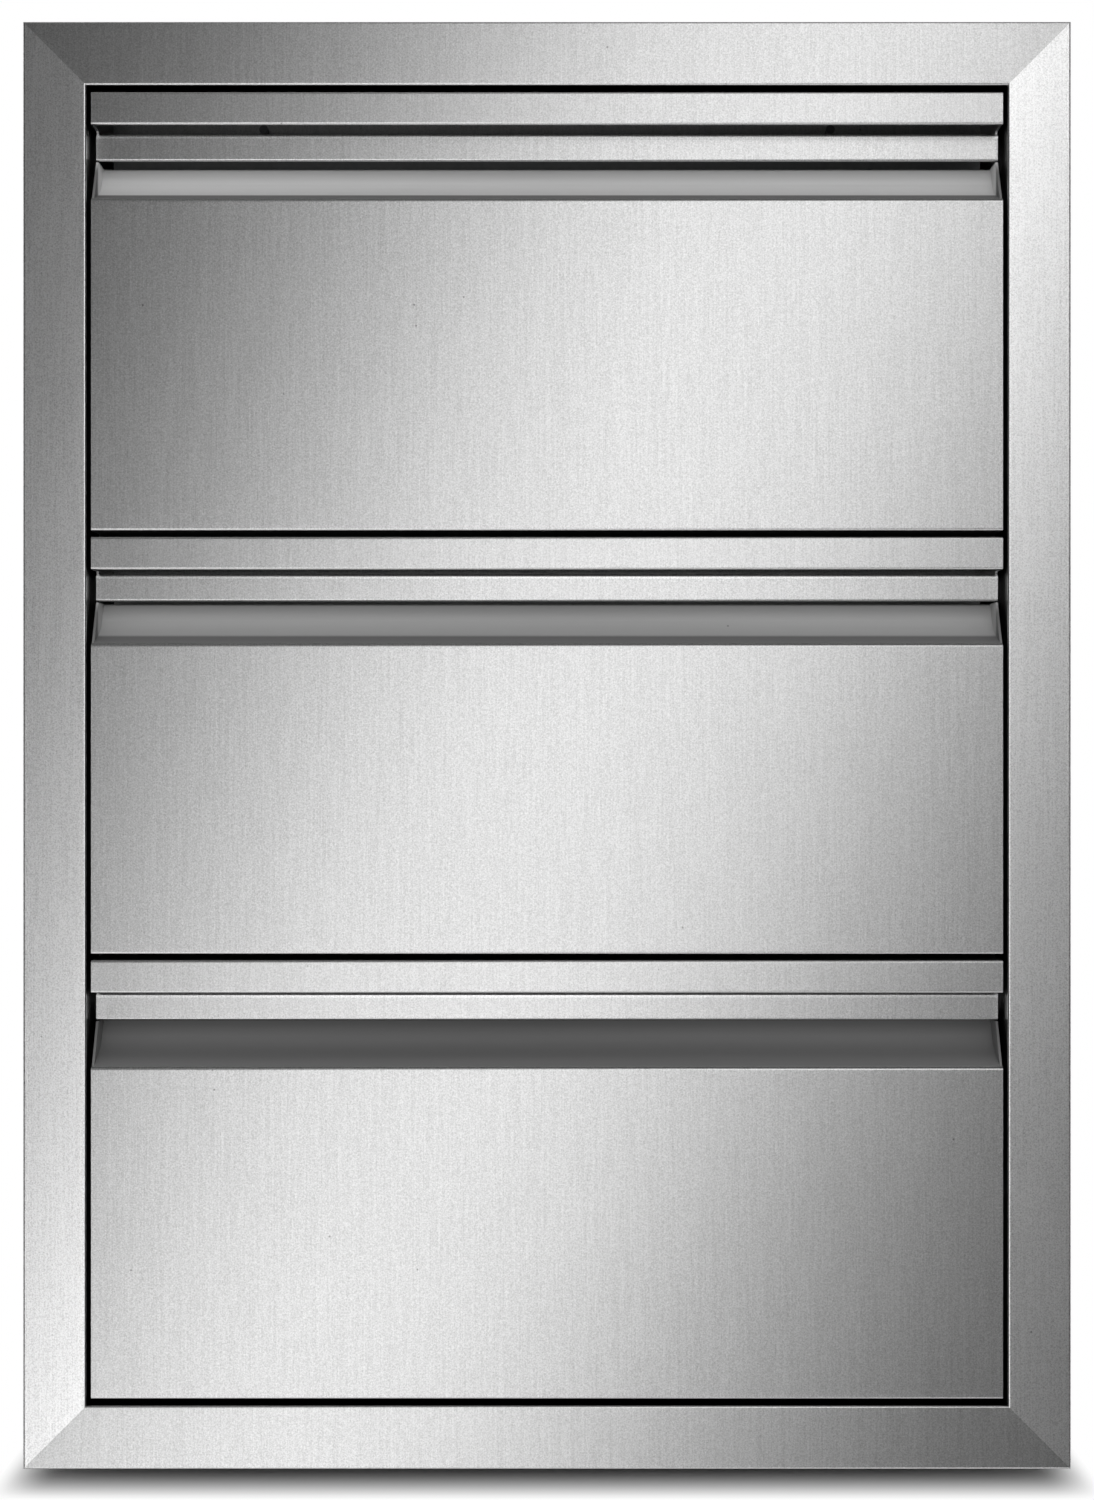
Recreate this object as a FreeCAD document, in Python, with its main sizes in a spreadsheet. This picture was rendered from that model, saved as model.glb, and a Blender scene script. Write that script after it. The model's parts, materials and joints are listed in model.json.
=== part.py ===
import FreeCAD, Part
import os
import Sketcher

# Outdoor kitchen drawer unit: a mitred face frame on a sheet housing, and three drawers on telescopic slides.
# X runs across, Y runs back into the island and Z is up, in millimetres. The origin is the middle of the sill
# that the housing rests on, in the plane of the island's face.

SIZES = (
    ("overall_width", 457.0, "width over the face frame"),
    ("overall_height", 631.0, "height over the face frame"),
    ("flange_width", 27.6, "width of the frame's face on all four sides"),
    ("frame_sheet", 1.2, "sheet of the face frame"),
    ("frame_stand", 12.0, "how far the frame stands off the island's face"),
    ("frame_seat_width", 10.0, "width of the frame's rear hem, which lies on the island"),
    ("frame_return_end", 18.0, "depth behind the island's face that the frame's inner return reaches"),
    ("frame_fold_radius", 0.9, "outer radius of the frame's folds"),
    ("housing_depth", 508.0, "depth of the housing behind the island's face"),
    ("housing_sheet", 0.9, "sheet of the housing"),
    ("housing_flange", 12.0, "width of the housing's joining flanges"),
    ("housing_nose", 10.3, "how far the housing reaches forward into the frame"),
    ("flange_rivet_inset", 30.0, "from a joining flange's end to its outermost rivet"),
    ("flange_rivet_count", 4, "rivets in one joining flange"),
    ("flange_end_gap", 1.0, "gap between the joining flanges in the rear corners"),
    ("fixing_hole_radius", 2.75, "radius of the holes that fix the housing to the island"),
    ("fixing_hole_depth", 29.0, "from the island's face to the fixing holes"),
    ("fixing_hole_spacing", 400.0, "distance between the two fixing holes of a side"),
    ("rivet_radius", 1.6, "shank of every rivet"),
    ("rivet_head_radius", 3.2, "head of every rivet"),
    ("rivet_head_height", 1.0, "height of a rivet's head"),
    ("hole_play", 0.05, "radial clearance of a shank in its hole"),
    ("front_gap", 2.6, "gap above, between and below the drawer fronts"),
    ("front_side_gap", 2.0, "gap at each side of a drawer front"),
    ("front_setback", 1.0, "fronts behind the frame's face"),
    ("tall_front_height", 191.6, "height of the top and bottom drawer fronts"),
    ("front_sheet", 1.0, "sheet of the drawer fronts"),
    ("front_fold_radius", 1.1, "outer radius of the sharp folds on a front"),
    ("band_height", 14.3, "height of the band at the top of a front"),
    ("band_hem_height", 4.0, "height of the fold behind the band's bottom edge"),
    ("slot_height", 1.2, "open slot from the band's bottom edge to the top of the lip"),
    ("lip_depth", 12.0, "lip behind the band's face"),
    ("lip_drop", 27.4, "from the top of a front to the bottom of its lip"),
    ("lip_hem_height", 5.0, "height of the fold at the lip's bottom edge"),
    ("panel_drop", 47.0, "from the top of a front to the corner of its flat panel"),
    ("panel_bend_radius", 1.5, "outer radius of the bend from panel to scoop"),
    ("scoop_floor_depth", 18.0, "depth at which the scoop's floor meets its wall"),
    ("scoop_floor_drop", 40.1, "from the top of a front to where floor and wall meet"),
    ("scoop_radius", 14.0, "radius of the hollow between the scoop's floor and wall"),
    ("scoop_rim_depth", 25.0, "depth of the rim at the top of the scoop's wall"),
    ("scoop_rim_drop", 28.0, "from the top of a front to the scoop's rim and the shelf behind it"),
    ("scoop_rim_radius", 2.2, "outer radius of the scoop's rim"),
    ("recess_depth", 50.0, "depth of the finger recess"),
    ("shelf_flange_height", 10.0, "rear flange of the shelf behind the scoop"),
    ("panel_flange_height", 12.0, "rear flange at a front panel's bottom"),
    ("inner_front_margin", 1.0, "inner front inside the outline of its front"),
    ("screw_radius", 2.0, "shank of the screws that hold a front"),
    ("screw_head_radius", 3.4, "head of those screws"),
    ("screw_head_height", 2.0, "height of their heads"),
    ("screw_reach", 4.0, "length of those screws past the last sheet"),
    ("screw_height", 5.0, "screws from the top and from the bottom of a front"),
    ("screw_side_inset", 70.0, "screws from the side of a front"),
    ("box_sheet", 0.9, "sheet of the drawer boxes"),
    ("box_length", 430.0, "length of a drawer box behind its inner front"),
    ("box_lift", 10.0, "drawer box above the lower edge of its front"),
    ("box_top_drop", 30.0, "drawer box's rim below the top of its front"),
    ("box_hem_height", 8.0, "height of the folded hem on a box's rim"),
    ("slide_length", 450.0, "length of a slide's outer member"),
    ("slide_gap", 1.0, "gap between the inner front and the slides"),
    ("slide_above_box", 45.0, "slide's middle above the box's bottom"),
    ("slide_width", 12.7, "total thickness of a slide"),
    ("slide_wall", 1.2, "sheet of the slide's members"),
    ("slide_half_height", 22.85, "half the height of a slide's outer member"),
    ("outer_lip_drop", 3.45, "depth of the lips on the outer member"),
    ("outer_flange_end", 10.9, "outer member's flanges from the housing's wall"),
    ("middle_web_start", 4.0, "middle member's web from the housing's wall"),
    ("middle_flange_end", 11.4, "middle member's flanges from the housing's wall"),
    ("middle_lip_drop", 3.05, "depth of the lips on the middle member"),
    ("inner_flange_end", 6.6, "inner member's flanges from the housing's wall"),
    ("ball_play", 0.05, "clearance of a ball on each side of its race"),
    ("outer_ball_radius", 2.0, "balls between the outer and middle members"),
    ("outer_ball_centre", 6.8, "those balls from the housing's wall"),
    ("inner_ball_radius", 1.6, "balls between the middle and inner members"),
    ("inner_ball_centre", 8.0, "those balls from the housing's wall"),
    ("cage_sheet", 0.6, "strip that the ball cages are made of"),
    ("cage_hole_play", 0.1, "radial clearance of a ball in its cage"),
    ("cage_length", 200.0, "length of a ball cage"),
    ("outer_cage_web", 2.9, "outer cage's web from the housing's wall"),
    ("outer_cage_end", 9.5, "outer cage's legs from the housing's wall"),
    ("inner_cage_web", 5.5, "inner cage's web from the housing's wall"),
    ("inner_cage_end", 9.9, "inner cage's legs from the housing's wall"),
    ("balls_per_row", 6, "balls along one leg of a cage"),
    ("ball_end_inset", 12.0, "from a cage's end to its outermost ball"),
    ("slide_rivet_count", 3, "rivets that hold one member of a slide"),
    ("slide_rivet_inset", 35.0, "from a member's front end to its first rivet"),
    ("slide_rivet_rear_inset", 60.0, "from a slide's rear end to its last rivet"),
    ("buffer_length", 8.0, "length of the rubber buffer at a slide's rear end"),
    ("buffer_half_height", 11.0, "half the height of a buffer"),
    ("buffer_end", 10.6, "buffer's inner side from the housing's wall"),
    ("buffer_corner_radius", 2.0, "rounding of a buffer's corners"),
    ("rest_gap", 0.3, "gap between a closed drawer's slides and the buffers"),
)

RIGHT = 1
LEFT = -1
SIDE_NAMES = ((LEFT, "left"), (RIGHT, "right"))
MATCH = 1e-4

# Places worked out from the sizes, as expressions.
OPENING_HALF = "(sizes.overall_width / 2 - sizes.flange_width)"
OPENING_LOW = "(sizes.housing_sheet + sizes.frame_sheet)"
OPENING_HIGH = f"({OPENING_LOW} + sizes.overall_height - 2 * sizes.flange_width)"
FRAME_LOW = f"({OPENING_LOW} - sizes.flange_width)"
FRAME_HIGH = f"({FRAME_LOW} + sizes.overall_height)"
WALL = f"({OPENING_HALF} + sizes.frame_sheet)"
HOUSING_TOP = f"({OPENING_HIGH} + {OPENING_LOW})"
FLANGE_FRONT = "(sizes.frame_return_end + sizes.flange_end_gap)"
FLANGE_REAR = "(sizes.housing_depth - sizes.housing_sheet - sizes.housing_flange - sizes.flange_end_gap)"
BACK_FLANGE_FRONT = "(sizes.housing_depth - sizes.housing_sheet - sizes.housing_flange)"
FRONT_HALF = f"({OPENING_HALF} - sizes.front_side_gap)"
FRONT_FACE = "(sizes.front_setback - sizes.frame_stand)"
MIDDLE_FRONT_HEIGHT = (
    f"({OPENING_HIGH} - {OPENING_LOW} - 4 * sizes.front_gap - 2 * sizes.tall_front_height)"
)
BOX_START = "(sizes.recess_depth + sizes.box_sheet)"
BOX_END = f"({BOX_START} + sizes.box_length)"
BOX_HALF = f"({WALL} - sizes.slide_width)"
BOX_INNER_HALF = f"({BOX_HALF} - sizes.box_sheet)"
SLIDE_START = f"({BOX_START} + sizes.slide_gap)"
SLIDE_FRONT = f"({FRONT_FACE} + {SLIDE_START})"
MOVING_LENGTH = "(sizes.slide_length - sizes.buffer_length - sizes.rest_gap)"
RIVET_HOLE = "(sizes.rivet_radius + sizes.hole_play)"
SCREW_HOLE = "(sizes.screw_radius + sizes.hole_play)"
OUTER_BALL_HEIGHT = "(sizes.slide_half_height - sizes.slide_wall - sizes.ball_play - sizes.outer_ball_radius)"
MIDDLE_HALF_HEIGHT = f"({OUTER_BALL_HEIGHT} - sizes.outer_ball_radius - sizes.ball_play)"
INNER_BALL_HEIGHT = f"({MIDDLE_HALF_HEIGHT} - sizes.slide_wall - sizes.ball_play - sizes.inner_ball_radius)"
INNER_HALF_HEIGHT = f"({INNER_BALL_HEIGHT} - sizes.inner_ball_radius - sizes.ball_play)"

# Each drawer: its name, the height of its front and the level of that front's top edge.
BOTTOM_TOP = f"({OPENING_LOW} + sizes.front_gap + sizes.tall_front_height)"
MIDDLE_TOP = f"({BOTTOM_TOP} + sizes.front_gap + {MIDDLE_FRONT_HEIGHT})"
TOP_TOP = f"({MIDDLE_TOP} + sizes.front_gap + sizes.tall_front_height)"
DRAWERS = (
    ("bottom", "sizes.tall_front_height", BOTTOM_TOP),
    ("middle", MIDDLE_FRONT_HEIGHT, MIDDLE_TOP),
    ("top", "sizes.tall_front_height", TOP_TOP),
)


def slide_level(height, top):
    """Height of a drawer's slides above the origin."""
    return f"({top} - {height} + sizes.box_lift + sizes.slide_above_box)"


def steps(first, last, count):
    """Evenly spaced places from first to last, as expressions."""
    if count < 2:
        return [first]
    return [f"({first} + ({last} - {first}) * {i} / {count - 1})" for i in range(count)]


def make_sizes(doc):
    """The spreadsheet with one named size per row."""
    sheet = doc.addObject("Spreadsheet::Sheet", "sizes")
    for row, (alias, number, meaning) in enumerate(SIZES, start=1):
        sheet.set(f"A{row}", meaning)
        sheet.set(f"B{row}", str(number))
        sheet.setAlias(f"B{row}", alias)
    doc.recompute()
    return sheet


def new_body(doc, label, across="0", depth="0", level="0", group=False):
    """An empty body placed by expressions; a group may hold several solids."""
    body = doc.addObject("PartDesign::Body", label)
    body.Label = label
    body.AllowCompound = group
    body.setExpression("Placement.Base.x", across)
    body.setExpression("Placement.Base.y", depth)
    body.setExpression("Placement.Base.z", level)
    return body


def origin_part(body, role):
    """One of the body's own origin planes or axes."""
    return next(item for item in body.Origin.OriginFeatures if item.Role == role)


def new_sketch(body, name, plane, offset):
    """An empty sketch parallel to an origin plane, at an offset along its normal."""
    sketch = body.newObject("Sketcher::SketchObject", f"{body.Label}_{name}")
    sketch.AttachmentSupport = [(origin_part(body, f"{plane}_Plane"), "")]
    sketch.MapMode = "FlatFace"
    sketch.setExpression("AttachmentOffset.Base.z", offset)
    return sketch


def bind(sketch, constraint, expression):
    """Adds one sketch constraint and ties it to an expression."""
    index = sketch.addConstraint(constraint)
    sketch.setExpression(f"Constraints[{index}]", expression)


def draw_outline(body, sketch, points):
    """A closed outline of straight lines through points given as pairs of expressions."""
    corners = [FreeCAD.Vector(body.evalExpression(u), body.evalExpression(v), 0) for u, v in points]
    count = len(corners)
    for i in range(count):
        sketch.addGeometry(Part.LineSegment(corners[i], corners[(i + 1) % count]), False)
    for i in range(count):
        sketch.addConstraint(Sketcher.Constraint("Coincident", i, 2, (i + 1) % count, 1))
    for i, (u, v) in enumerate(points):
        bind(sketch, Sketcher.Constraint("DistanceX", -1, 1, i, 1, corners[i].x), u)
        bind(sketch, Sketcher.Constraint("DistanceY", -1, 1, i, 1, corners[i].y), v)


def slab(body, name, plane, points, start, end):
    """Pads an outline from start to end along the axis square to its plane."""
    offset = f"-({end})" if plane == "XZ" else start
    sketch = new_sketch(body, f"{name}_outline", plane, offset)
    draw_outline(body, sketch, points)
    pad = body.newObject("PartDesign::Pad", f"{body.Label}_{name}")
    pad.Profile = sketch
    pad.setExpression("Length", f"({end}) - ({start})")
    body.Tip = pad
    return pad


def drill(body, name, plane, circles, start, end):
    """Cuts round holes, given as centre and radius, from start to end through the body."""
    offset = f"-({start})" if plane == "XZ" else end
    sketch = new_sketch(body, f"{name}_circles", plane, offset)
    normal = FreeCAD.Vector(0, 0, 1)
    for i, (u, v, radius) in enumerate(circles):
        centre = FreeCAD.Vector(body.evalExpression(u), body.evalExpression(v), 0)
        size = body.evalExpression(radius)
        sketch.addGeometry(Part.Circle(centre, normal, size), False)
        bind(sketch, Sketcher.Constraint("DistanceX", -1, 1, i, 3, centre.x), u)
        bind(sketch, Sketcher.Constraint("DistanceY", -1, 1, i, 3, centre.y), v)
        bind(sketch, Sketcher.Constraint("Radius", i, size), radius)
    pocket = body.newObject("PartDesign::Pocket", f"{body.Label}_{name}")
    pocket.Profile = sketch
    pocket.setExpression("Length", f"({end}) - ({start})")
    body.Tip = pocket
    return pocket


def hollow(body, name, points, start, end):
    """Cuts a YZ outline from start to end through the body."""
    sketch = new_sketch(body, f"{name}_outline", "YZ", end)
    draw_outline(body, sketch, points)
    pocket = body.newObject("PartDesign::Pocket", f"{body.Label}_{name}")
    pocket.Profile = sketch
    pocket.setExpression("Length", f"({end}) - ({start})")
    body.Tip = pocket
    return pocket


def turned(body, name, plane, rise, offset, stations):
    """A stepped round piece, turned about a line along the plane's first axis.

    Each station is where it starts, where it ends and its radius.
    """
    sketch = new_sketch(body, f"{name}_profile", plane, offset)
    sketch.setExpression("AttachmentOffset.Base.y", rise)
    points = [(stations[0][0], "0")]
    for start, end, radius in stations:
        points.append((start, radius))
        points.append((end, radius))
    points.append((stations[-1][1], "0"))
    draw_outline(body, sketch, points)
    revolution = body.newObject("PartDesign::Revolution", f"{body.Label}_{name}")
    revolution.Profile = sketch
    revolution.ReferenceAxis = (sketch, ["H_Axis"])
    revolution.Angle = 360
    body.Tip = revolution
    return revolution


def repeat(body, feature, rows=(), mirrors=()):
    """Repeats a feature along axes, each row an axis, a length and a count, then mirrors it."""
    many = body.newObject("PartDesign::MultiTransform", f"{feature.Label}_all")
    moves = []
    for i, (axis, length, count) in enumerate(rows):
        pattern = body.newObject("PartDesign::LinearPattern", f"{feature.Label}_row_{i}")
        pattern.Direction = (origin_part(body, f"{axis}_Axis"), [""])
        pattern.setExpression("Length", length)
        pattern.Occurrences = count
        moves.append(pattern)
    for plane in mirrors:
        mirror = body.newObject("PartDesign::Mirrored", f"{feature.Label}_mirror_{plane}")
        mirror.MirrorPlane = (origin_part(body, f"{plane}_Plane"), [""])
        moves.append(mirror)
    many.Originals = [feature]
    many.Transformations = moves
    body.Tip = many
    return many


def round_folds(body, name, axis, places, radius):
    """Rounds the straight edges along an axis that lie at the given pairs of places."""
    base = body.Tip
    base.Document.recompute()
    others = [i for i in range(3) if i != "XYZ".index(axis)]
    wanted = [[body.evalExpression(u), body.evalExpression(v)] for u, v in places]
    names = []
    for number, edge in enumerate(base.Shape.Edges, start=1):
        ends = [vertex.Point for vertex in edge.Vertexes]
        straight = edge.Curve.TypeId == "Part::GeomLine" and len(ends) == 2
        if straight and any(
            all(abs(end[i] - place[k]) < MATCH for end in ends for k, i in enumerate(others))
            for place in wanted
        ):
            names.append(f"Edge{number}")
    if len(names) < len(wanted):
        raise RuntimeError(f"{body.Label}: {name} found {len(names)} of {len(wanted)} edges")
    fillet = body.newObject("PartDesign::Fillet", f"{body.Label}_{name}")
    fillet.Base = (base, names)
    fillet.setExpression("Radius", radius)
    body.Tip = fillet
    return fillet


def rectangle(low_u, high_u, low_v, high_v):
    """The four corners of a rectangle."""
    return [(low_u, low_v), (high_u, low_v), (high_u, high_v), (low_u, high_v)]


def frame_strip_outline(strip, outer, inner):
    """A mitred strip of the frame between two distances inward from its outer edge."""
    half = "sizes.overall_width / 2"
    corners = []
    for inset in (outer, inner):
        right = f"({half} - {inset})"
        corners.append((f"(-{right})", right, f"({FRAME_LOW} + {inset})", f"({FRAME_HIGH} - {inset})"))
    (left_a, right_a, low_a, high_a), (left_b, right_b, low_b, high_b) = corners
    if strip == "rail_top":
        return [(left_a, high_a), (right_a, high_a), (right_b, high_b), (left_b, high_b)]
    if strip == "rail_bottom":
        return [(left_a, low_a), (right_a, low_a), (right_b, low_b), (left_b, low_b)]
    if strip == "stile_left":
        return [(left_a, low_a), (left_a, high_a), (left_b, high_b), (left_b, low_b)]
    return [(right_a, low_a), (right_a, high_a), (right_b, high_b), (right_b, low_b)]


def frame_strip(doc, strip):
    """One folded strip of the face frame: face, outer return, rear hem and inner return."""
    body = new_body(doc, f"frame_{strip}")
    face = "(-sizes.frame_stand)"
    edge = "sizes.flange_width"
    sheet = "sizes.frame_sheet"
    folds = (
        ("face", "0", edge, face, f"{face} + {sheet}"),
        ("outer_return", "0", sheet, face, "0"),
        ("hem", "0", "sizes.frame_seat_width", f"(-{sheet})", "0"),
        ("inner_return", f"({edge} - {sheet})", edge, face, "sizes.frame_return_end"),
    )
    for name, outer, inner, start, end in folds:
        slab(body, name, "XZ", frame_strip_outline(strip, outer, inner), start, end)
    half = "sizes.overall_width / 2"
    if strip == "rail_top":
        axis, places = "X", [(face, FRAME_HIGH), (face, OPENING_HIGH)]
    elif strip == "rail_bottom":
        axis, places = "X", [(face, FRAME_LOW), (face, OPENING_LOW)]
    elif strip == "stile_left":
        axis, places = "Z", [(f"-{half}", face), (f"-{OPENING_HALF}", face)]
    else:
        axis, places = "Z", [(half, face), (OPENING_HALF, face)]
    round_folds(body, "folds", axis, places, "sizes.frame_fold_radius")


def flange_rivet_rows(sheet):
    """Places along the floor and roof flanges, and up the back's flanges."""
    count = int(sheet.get("flange_rivet_count"))
    inset = "sizes.flange_rivet_inset"
    along = steps(f"({FLANGE_FRONT} + {inset})", f"({FLANGE_REAR} - {inset})", count)
    up = steps(f"(sizes.housing_sheet + {inset})", f"({HOUSING_TOP} - sizes.housing_sheet - {inset})", count)
    return along, up


FLOOR_RIVET_LEVEL = "((sizes.housing_sheet + sizes.housing_flange) / 2)"
ROOF_RIVET_LEVEL = f"({HOUSING_TOP} - {FLOOR_RIVET_LEVEL})"
BACK_RIVET_DEPTH = "(sizes.housing_depth - sizes.housing_sheet - sizes.housing_flange / 2)"


def slide_rivet_places(sheet, start):
    """Depths of the rivets along one slide that starts at the given depth."""
    count = int(sheet.get("slide_rivet_count"))
    first = f"({start} + sizes.slide_rivet_inset)"
    last = f"({start} + sizes.slide_length - sizes.slide_rivet_rear_inset)"
    return steps(first, last, count)


def housing_side(doc, sheet, side, name):
    """A side of the housing, with its holes for rivets and for fixing it to the island."""
    body = new_body(doc, f"housing_side_{name}")
    low, high = WALL, f"({WALL} + sizes.housing_sheet)"
    if side == LEFT:
        low, high = f"(-{high})", f"(-{low})"
    outline = rectangle("(-sizes.housing_nose)", "sizes.housing_depth", "0", HOUSING_TOP)
    slab(body, "plate", "YZ", outline, low, high)
    along, up = flange_rivet_rows(sheet)
    circles = [(y, level, RIVET_HOLE) for level in (FLOOR_RIVET_LEVEL, ROOF_RIVET_LEVEL) for y in along]
    circles += [(BACK_RIVET_DEPTH, z, RIVET_HOLE) for z in up]
    for _, height, top in DRAWERS:
        level = slide_level(height, top)
        circles += [(y, level, RIVET_HOLE) for y in slide_rivet_places(sheet, SLIDE_FRONT)]
    for sign in (-1, 1):
        level = f"({HOUSING_TOP} / 2 + {sign} * sizes.fixing_hole_spacing / 2)"
        circles.append(("sizes.fixing_hole_depth", level, "sizes.fixing_hole_radius"))
    drill(body, "holes", "YZ", circles, low, high)


def housing_deck(doc, sheet, name):
    """The housing's floor or roof, with a riveted flange along each side."""
    body = new_body(doc, f"housing_{name}")
    if name == "floor":
        low, high = "0", "sizes.housing_sheet"
        flange_low, flange_high = "0", "sizes.housing_flange"
        rivet_level = FLOOR_RIVET_LEVEL
    else:
        low, high = f"({HOUSING_TOP} - sizes.housing_sheet)", HOUSING_TOP
        flange_low, flange_high = f"({HOUSING_TOP} - sizes.housing_flange)", HOUSING_TOP
        rivet_level = ROOF_RIVET_LEVEL
    outline = rectangle(f"(-{WALL})", WALL, "(-sizes.housing_nose)", "sizes.housing_depth")
    slab(body, "plate", "XY", outline, low, high)
    flange = rectangle(FLANGE_FRONT, FLANGE_REAR, flange_low, flange_high)
    slab(body, "flange_right", "YZ", flange, f"({WALL} - sizes.housing_sheet)", WALL)
    slab(body, "flange_left", "YZ", flange, f"(-{WALL})", f"(-{WALL} + sizes.housing_sheet)")
    along, _ = flange_rivet_rows(sheet)
    circles = [(y, rivet_level, RIVET_HOLE) for y in along]
    drill(body, "holes", "YZ", circles, f"(-{WALL})", WALL)


def housing_back(doc, sheet):
    """The housing's back, with a riveted flange along each side."""
    body = new_body(doc, "housing_back")
    low, high = "sizes.housing_sheet", f"({HOUSING_TOP} - sizes.housing_sheet)"
    rear = "(sizes.housing_depth - sizes.housing_sheet)"
    slab(body, "plate", "XZ", rectangle(f"(-{WALL})", WALL, low, high), rear, "sizes.housing_depth")
    flange = rectangle(BACK_FLANGE_FRONT, rear, low, high)
    slab(body, "flange_right", "YZ", flange, f"({WALL} - sizes.housing_sheet)", WALL)
    slab(body, "flange_left", "YZ", flange, f"(-{WALL})", f"(-{WALL} + sizes.housing_sheet)")
    _, up = flange_rivet_rows(sheet)
    drill(body, "holes", "YZ", [(BACK_RIVET_DEPTH, z, RIVET_HOLE) for z in up], f"(-{WALL})", WALL)


def rivet_stations(inner, outer):
    """A rivet's heads and shank across sheets that lie between two places."""
    head = "sizes.rivet_head_height"
    return (
        (f"({inner} - {head})", inner, "sizes.rivet_head_radius"),
        (inner, outer, "sizes.rivet_radius"),
        (outer, f"({outer} + {head})", "sizes.rivet_head_radius"),
    )


def housing_rivets(doc, sheet):
    """The rivets that join the housing's five panels."""
    body = new_body(doc, "housing_rivets", group=True)
    count = int(sheet.get("flange_rivet_count"))
    along, up = flange_rivet_rows(sheet)
    stations = rivet_stations(f"({WALL} - sizes.housing_sheet)", f"({WALL} + sizes.housing_sheet)")
    deck = turned(body, "deck_rivet", "XY", along[0], FLOOR_RIVET_LEVEL, stations)
    rows = (
        ("Y", f"({along[-1]} - {along[0]})", count),
        ("Z", f"({ROOF_RIVET_LEVEL} - {FLOOR_RIVET_LEVEL})", 2),
    )
    repeat(body, deck, rows, ("YZ",))
    back = turned(body, "back_rivet", "XY", BACK_RIVET_DEPTH, up[0], stations)
    repeat(body, back, (("Z", f"({up[-1]} - {up[0]})", count),), ("YZ",))


def slide_rivets(doc, sheet):
    """The rivets that hold the slides' outer members to the housing."""
    body = new_body(doc, "slide_rivets", group=True)
    count = int(sheet.get("slide_rivet_count"))
    places = slide_rivet_places(sheet, SLIDE_FRONT)
    stations = rivet_stations(f"({WALL} - sizes.slide_wall)", f"({WALL} + sizes.housing_sheet)")
    for name, height, top in DRAWERS:
        rivet = turned(body, f"{name}_rivet", "XY", places[0], slide_level(height, top), stations)
        repeat(body, rivet, (("Y", f"({places[-1]} - {places[0]})", count),), ("YZ",))


def slide_point(side, from_wall, level):
    """A point of a slide's section, given from the housing's wall."""
    return (f"({side} * ({WALL} - {from_wall}))", level)


def channel_outline(side, web, web_inner, end, half_height, wall, lip=None):
    """A C-shaped section from its web to the end of its flanges, with lips if asked for."""
    end_inner = f"({end} - {wall})"
    points = []
    for sign in (-1, 1):
        outer = f"({sign} * {half_height})"
        inner = f"({sign} * ({half_height} - {wall}))"
        half = [(web, outer), (end, outer)]
        if lip:
            tip = f"({sign} * ({half_height} - {lip}))"
            half += [(end, tip), (end_inner, tip), (end_inner, inner)]
        else:
            half.append((end, inner))
        half.append((web_inner, inner))
        points += half if sign == -1 else half[::-1]
    return [slide_point(side, u, v) for u, v in points]


def web_holes(body, sheet, side, start, end):
    """The rivet holes through a member's web."""
    low, high = f"({WALL} - {end})", f"({WALL} - {start})"
    if side == LEFT:
        low, high = f"(-{high})", f"(-{low})"
    drill(body, "holes", "YZ", [(y, "0", RIVET_HOLE) for y in slide_rivet_places(sheet, "0")], low, high)


def slide_outer(doc, sheet, drawer, side, name, level):
    """The slide member that is riveted to the housing."""
    body = new_body(doc, f"{drawer}_slide_outer_{name}", depth=SLIDE_FRONT, level=level)
    wall, end = "sizes.slide_wall", "sizes.outer_flange_end"
    half_height, lip = "sizes.slide_half_height", "sizes.outer_lip_drop"
    section = channel_outline(side, "0", wall, end, half_height, wall, lip)
    slab(body, "channel", "XZ", section, "0", "sizes.slide_length")
    web_holes(body, sheet, side, "0", wall)


def slide_middle(doc, drawer, side, name, level):
    """The slide member that runs between the other two."""
    body = new_body(doc, f"{drawer}_slide_middle_{name}", depth=SLIDE_FRONT, level=level)
    web, wall = "sizes.middle_web_start", "sizes.slide_wall"
    end, lip = "sizes.middle_flange_end", "sizes.middle_lip_drop"
    section = channel_outline(side, web, f"({web} + {wall})", end, MIDDLE_HALF_HEIGHT, wall, lip)
    slab(body, "channel", "XZ", section, "0", MOVING_LENGTH)


def slide_inner(doc, sheet, drawer, side, name, level):
    """The slide member that is riveted to the drawer."""
    body = new_body(doc, f"{drawer}_slide_inner_{name}", depth=SLIDE_FRONT, level=level)
    web, wall = "sizes.slide_width", "sizes.slide_wall"
    web_inner = f"({web} - {wall})"
    section = channel_outline(side, web, web_inner, "sizes.inner_flange_end", INNER_HALF_HEIGHT, wall)
    slab(body, "channel", "XZ", section, "0", MOVING_LENGTH)
    web_holes(body, sheet, side, web_inner, web)


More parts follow.
